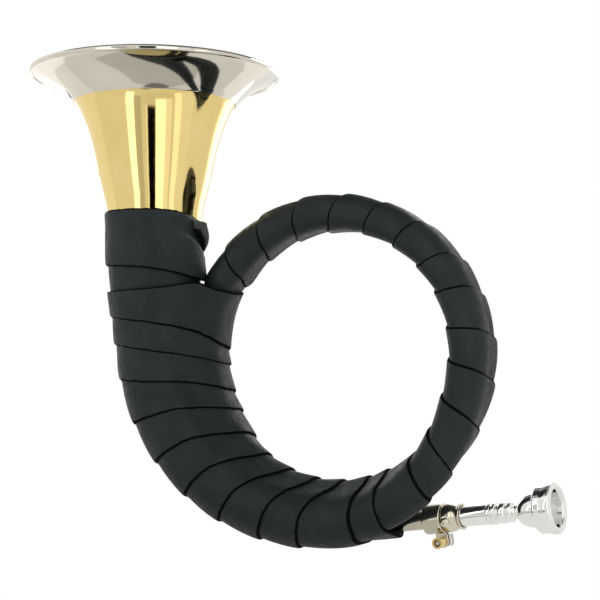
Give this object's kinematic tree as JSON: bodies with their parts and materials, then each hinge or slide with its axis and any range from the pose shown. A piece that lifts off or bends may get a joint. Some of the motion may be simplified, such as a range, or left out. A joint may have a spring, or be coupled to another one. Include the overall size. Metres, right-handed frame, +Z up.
{
  "type": "round hunting horn",
  "caption": "Round brass hunting horn: a coiled tube wound with a dark leather strip, a flared bell with a plated garland, a clamped tuning slide and a pull-out mouthpiece.",
  "frame": {"origin": "under the middle of the horn's outline, at the level of its lowest point", "axes": "+Z up, out of the bell; +X along the coil's plane towards the mouthpiece; -Y is the front, where the bell branch lies"},
  "size_m": [0.2774, 0.1308, 0.2457],
  "materials": {
    "coil_brass": "drawn brass tube, lacquered",
    "bell_brass": "polished and lacquered yellow brass",
    "ferrule_brass": "turned brass, soldered",
    "garland_plate": "spun nickel silver sheet, polished",
    "rim_steel": "plain wire inside the rolled rim",
    "nickel_silver": "turned nickel silver, polished",
    "silver_plate": "silver plated and polished",
    "screw_steel": "plain turned steel",
    "leather_strip": "dark smooth-grained leather, semi-matt"
  },
  "bodies": {
    "horn": {"first_coil": "coil_brass", "second_coil": "coil_brass", "bell_bow": "coil_brass", "bell_flare": "bell_brass", "bell_garland": "garland_plate", "rim_wire": "rim_steel", "first_ferrule": "ferrule_brass", "second_ferrule": "ferrule_brass", "bell_ferrule": "ferrule_brass", "stay_left": "ferrule_brass", "stay_top": "ferrule_brass", "stay_right": "ferrule_brass", "mouthpipe_sleeve": "nickel_silver", "clamp_collar": "nickel_silver", "clamp_barrel": "bell_brass", "leather_winding": "leather_strip", "leather_collar": "leather_strip", "leather_end": "leather_strip"},
    "slide": {"tuning_slide": "nickel_silver", "receiver": "nickel_silver", "receiver_screw": "nickel_silver"},
    "mouthpiece": {"mouthpiece": "silver_plate"},
    "washer": {"clamp_washer": "silver_plate"},
    "screw": {"clamp_screw": "screw_steel"}
  },
  "joints": [
    {"name": "tuning_slide", "type": "slide", "parent": "horn", "child": "slide", "axis": [0.9737, -0.1734, 0.1478], "range_m": [0, 0.02]},
    {"name": "mouthpiece_pull", "type": "slide", "parent": "slide", "child": "mouthpiece", "axis": [0.9737, -0.1734, 0.1478], "range_m": [0, 0.03]},
    {"name": "washer_travel", "type": "slide", "parent": "horn", "child": "washer", "axis": [0.1754, 0.9845, 0], "range_m": [0, 0.001]},
    {"name": "screw_turn", "type": "hinge", "parent": "washer", "child": "screw", "pos_m": [0.07856, 0.01778, 0.00452], "axis": [0.1754, 0.9845, 0], "range_deg": [0, 720]}
  ],
  "couplings": [
    {"joint": "screw_turn", "follows": "washer_travel", "rad_per_m": 12566}
  ]
}
